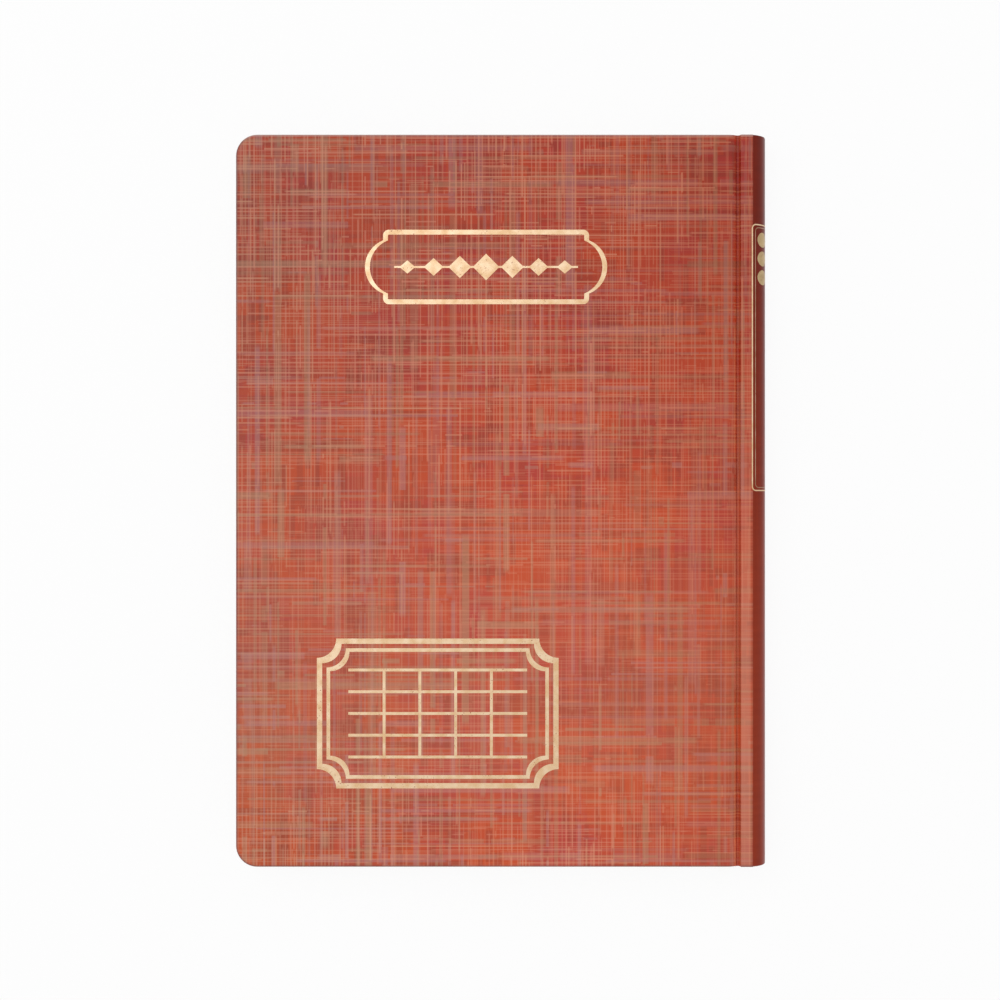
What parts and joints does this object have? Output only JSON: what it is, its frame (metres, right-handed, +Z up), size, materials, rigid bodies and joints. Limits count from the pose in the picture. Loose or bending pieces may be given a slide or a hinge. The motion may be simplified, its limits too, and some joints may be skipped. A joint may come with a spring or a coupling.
{
  "type": "ledger book",
  "caption": "Hardbound A4 account book with a rounded spine, printed cloth-look covers, gold foil frames, hinged covers and turning leaves.",
  "frame": {"origin": "middle of the closed book's footprint, on the plane of the back cover's outer face", "axes": "+Z up from the back cover to the front cover, +Y towards the head of the pages, +X towards the spine"},
  "size_m": [0.2202, 0.303, 0.0172],
  "materials": {
    "cover_print": "satin",
    "spine_print": "gloss",
    "gold_foil": "satin",
    "greyboard": "matte",
    "endpaper": "matte",
    "page_paper": "matte",
    "binding_cloth": "matte",
    "kraft": "matte",
    "band_thread": "satin"
  },
  "bodies": {
    "bound_block": {"spine_wrap": "spine_print", "spine_card": "greyboard", "front_joint_wrap": "cover_print", "back_joint_wrap": "cover_print", "front_endpaper_fold": "endpaper", "gathering_fold_01": "page_paper", "gathering_fold_02": "page_paper", "gathering_fold_03": "page_paper", "gathering_fold_04": "page_paper", "gathering_fold_05": "page_paper", "gathering_06": "page_paper", "gathering_07": "page_paper", "gathering_08": "page_paper", "gathering_09": "page_paper", "gathering_10": "page_paper", "back_endpaper_fold": "endpaper", "sewing_tape_head": "binding_cloth", "sewing_tape_middle": "binding_cloth", "sewing_tape_tail": "binding_cloth", "sewing_thread": "binding_cloth", "mull": "binding_cloth", "spine_liner": "kraft", "headband": "band_thread", "tailband": "band_thread", "spine_frame_outer_foil": "gold_foil", "spine_frame_inner_foil": "gold_foil", "spine_ornament_foil": "gold_foil"},
    "front_cover": {"front_board": "greyboard", "front_wrap": "cover_print", "front_pastedown": "endpaper", "title_frame_foil": "gold_foil", "title_ornament_foil": "gold_foil", "label_outer_foil": "gold_foil", "label_inner_foil": "gold_foil", "label_ruling_foil": "gold_foil"},
    "back_cover": {"back_board": "greyboard", "back_wrap": "cover_print", "back_pastedown": "endpaper"},
    "front_flyleaf": {"front_flyleaf": "endpaper"},
    "leaves_01": {"gathering_leaves_01": "page_paper"},
    "leaves_02": {"gathering_leaves_02": "page_paper"},
    "leaves_03": {"gathering_leaves_03": "page_paper"},
    "leaves_04": {"gathering_leaves_04": "page_paper"},
    "leaves_05": {"gathering_leaves_05": "page_paper"},
    "back_flyleaf": {"back_flyleaf": "endpaper"}
  },
  "joints": [
    {"name": "front_hinge", "type": "hinge", "parent": "bound_block", "child": "front_cover", "pos_m": [0.09804, 0, 0.0173], "axis": [0, 1, 0], "range_deg": [0, 179]},
    {"name": "back_hinge", "type": "hinge", "parent": "bound_block", "child": "back_cover", "pos_m": [0.09804, 0, -0.0001], "axis": [0, -1, 0], "range_deg": [0, 179]},
    {"name": "front_flyleaf_turn", "type": "hinge", "parent": "bound_block", "child": "front_flyleaf", "pos_m": [0.09804, 0, 0.0173], "axis": [0, 1, 0], "range_deg": [0, 176]},
    {"name": "leaves_01_turn", "type": "hinge", "parent": "bound_block", "child": "leaves_01", "pos_m": [0.09804, 0, 0.0173], "axis": [0, 1, 0], "range_deg": [0, 173]},
    {"name": "leaves_02_turn", "type": "hinge", "parent": "bound_block", "child": "leaves_02", "pos_m": [0.09804, 0, 0.0173], "axis": [0, 1, 0], "range_deg": [0, 172]},
    {"name": "leaves_03_turn", "type": "hinge", "parent": "bound_block", "child": "leaves_03", "pos_m": [0.09804, 0, 0.0173], "axis": [0, 1, 0], "range_deg": [0, 170]},
    {"name": "leaves_04_turn", "type": "hinge", "parent": "bound_block", "child": "leaves_04", "pos_m": [0.09804, 0, 0.0173], "axis": [0, 1, 0], "range_deg": [0, 169]},
    {"name": "leaves_05_turn", "type": "hinge", "parent": "bound_block", "child": "leaves_05", "pos_m": [0.09804, 0, 0.0173], "axis": [0, 1, 0], "range_deg": [0, 168]},
    {"name": "back_flyleaf_turn", "type": "hinge", "parent": "bound_block", "child": "back_flyleaf", "pos_m": [0.09804, 0, -0.0001], "axis": [0, -1, 0], "range_deg": [0, 174]}
  ],
  "couplings": [
    {"joint": "front_flyleaf_turn", "follows": "front_hinge", "ratio": 0.98},
    {"joint": "leaves_01_turn", "follows": "front_hinge", "ratio": 0.965},
    {"joint": "leaves_02_turn", "follows": "front_hinge", "ratio": 0.957},
    {"joint": "leaves_03_turn", "follows": "front_hinge", "ratio": 0.949},
    {"joint": "leaves_04_turn", "follows": "front_hinge", "ratio": 0.941},
    {"joint": "leaves_05_turn", "follows": "front_hinge", "ratio": 0.933},
    {"joint": "back_flyleaf_turn", "follows": "back_hinge", "ratio": 0.97}
  ]
}
